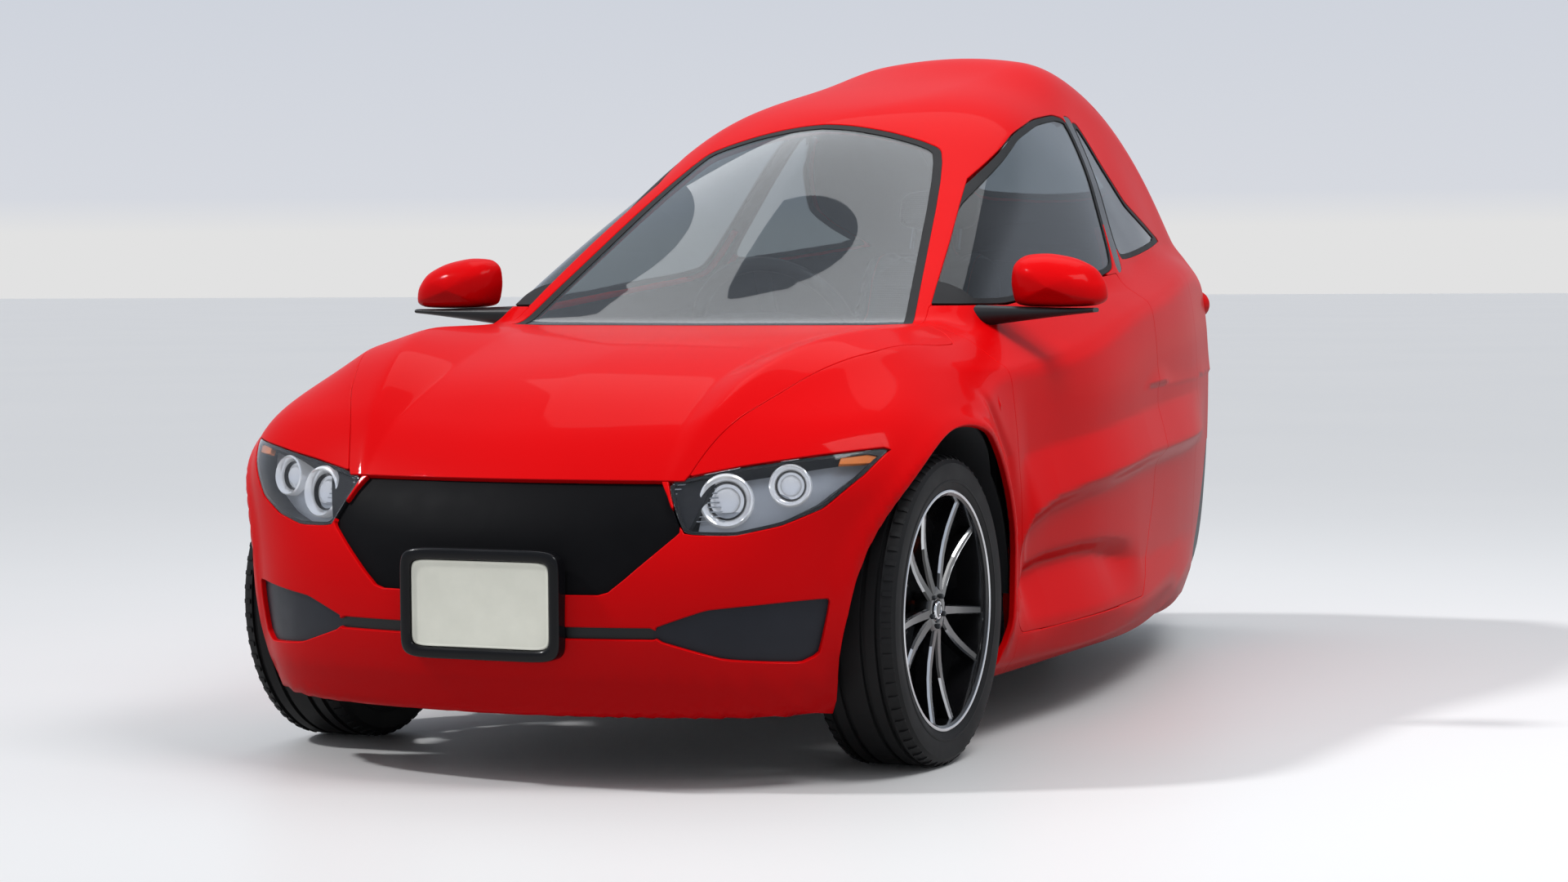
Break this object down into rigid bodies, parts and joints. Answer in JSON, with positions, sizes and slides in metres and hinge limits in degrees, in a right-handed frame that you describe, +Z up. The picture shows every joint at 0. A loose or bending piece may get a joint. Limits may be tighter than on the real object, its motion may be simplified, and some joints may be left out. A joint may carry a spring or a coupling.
{
  "type": "enclosed three-wheeled electric car",
  "caption": "Small enclosed single-seat electric car with two steered wheels in front and one driven wheel behind.",
  "frame": {"origin": "on the ground under the middle of the car's box", "axes": "+X to the car's left, -Y forwards, +Z up"},
  "size_m": [1.518, 3.05, 1.3719],
  "materials": {
    "paint": "high gloss red paint",
    "chassis": "satin black paint",
    "battery": "satin grey case",
    "grille": "piano black",
    "intake": "fine dark mesh",
    "trim": "satin black plastic",
    "plate": "blank off-white sheet",
    "cladding": "grained dark grey plastic",
    "tail_lamp": "clear red lens",
    "glass": "lightly tinted clear glass",
    "liner": "black moulding",
    "suspension": "black paint",
    "motor": "cast housing",
    "seat": "charcoal cloth",
    "dashboard": "grained soft black",
    "steel": "machined steel",
    "wheel_rim": "black leather",
    "lamp": "clear cover over chromed rings",
    "rim": "gloss black with machined edges",
    "tyre": "black rubber",
    "disc": "turned iron"
  },
  "bodies": {
    "car_body": {"cab_shell": "paint", "windshield_frame": "paint", "tail_shell": "paint", "floor_pan": "chassis", "battery_pack": "battery", "front_bumper": "paint", "grille_panel": "grille", "intake_grilles": "intake", "plate_frame": "trim", "number_plate": "plate", "sills": "paint", "rear_cladding": "cladding", "tail_lamps": "tail_lamp", "windshield": "glass", "quarter_glass": "glass", "wheel_liners": "liner", "front_suspension": "suspension", "rear_suspension": "suspension", "rear_wheel_well": "liner", "drive_motor": "motor", "seat_pedestal": "chassis", "seat_cushion": "seat", "seat_back": "seat", "headrest": "seat", "dashboard": "dashboard", "steering_column": "steel", "front_fender_left": "paint", "headlamp_left": "lamp", "front_fender_right": "paint", "headlamp_right": "lamp"},
    "hood": {"hood": "paint"},
    "hatch": {"hatch_panel": "paint", "rear_glass": "glass"},
    "steering_wheel": {"steering_wheel": "wheel_rim"},
    "rear_wheel": {"rear_rim": "rim", "rear_tyre": "tyre", "rear_disc": "disc"},
    "door_left": {"door_panel_left": "paint", "door_glass_left": "glass", "door_mirror_left": "paint"},
    "knuckle_left": {"knuckle_left": "steel"},
    "front_wheel_left": {"front_rim_left": "rim", "front_tyre_left": "tyre", "front_disc_left": "disc"},
    "door_right": {"door_panel_right": "paint", "door_glass_right": "glass", "door_mirror_right": "paint"},
    "knuckle_right": {"knuckle_right": "steel"},
    "front_wheel_right": {"front_rim_right": "rim", "front_tyre_right": "tyre", "front_disc_right": "disc"}
  },
  "joints": [
    {"name": "steer_left", "type": "hinge", "parent": "car_body", "child": "knuckle_left", "pos_m": [0.492, -0.97, 0.28], "axis": [0, 0, 1], "range_deg": [-28, 28]},
    {"name": "spin_front_left", "type": "hinge", "parent": "knuckle_left", "child": "front_wheel_left", "pos_m": [0.575, -0.97, 0.28], "axis": [1, 0, 0], "continuous": true},
    {"name": "door_left_hinge", "type": "hinge", "parent": "car_body", "child": "door_left", "pos_m": [0.664, -0.597, 0.45], "axis": [0, 0, -1], "range_deg": [0, 62]},
    {"name": "steer_right", "type": "hinge", "parent": "car_body", "child": "knuckle_right", "pos_m": [-0.492, -0.97, 0.28], "axis": [0, 0, 1], "range_deg": [-28, 28]},
    {"name": "spin_front_right", "type": "hinge", "parent": "knuckle_right", "child": "front_wheel_right", "pos_m": [-0.575, -0.97, 0.28], "axis": [1, 0, 0], "continuous": true},
    {"name": "door_right_hinge", "type": "hinge", "parent": "car_body", "child": "door_right", "pos_m": [-0.664, -0.597, 0.45], "axis": [0, 0, 1], "range_deg": [0, 62]},
    {"name": "spin_rear", "type": "hinge", "parent": "car_body", "child": "rear_wheel", "pos_m": [0, 1.07, 0.28], "axis": [1, 0, 0], "continuous": true},
    {"name": "steering_wheel_turn", "type": "hinge", "parent": "car_body", "child": "steering_wheel", "pos_m": [0, -0.25, 0.745], "axis": [0, 0.8988, 0.4384], "range_deg": [-336, 336]},
    {"name": "hood_hinge", "type": "hinge", "parent": "car_body", "child": "hood", "pos_m": [0, -0.611, 0.802], "axis": [-1, 0, 0], "range_deg": [0, 60]},
    {"name": "hatch_hinge", "type": "hinge", "parent": "car_body", "child": "hatch", "pos_m": [0, 0.99, 1.356], "axis": [1, 0, 0], "range_deg": [0, 70]}
  ],
  "couplings": [
    {"joint": "steer_right", "follows": "steer_left", "ratio": 1},
    {"joint": "steering_wheel_turn", "follows": "steer_left", "ratio": 12}
  ]
}
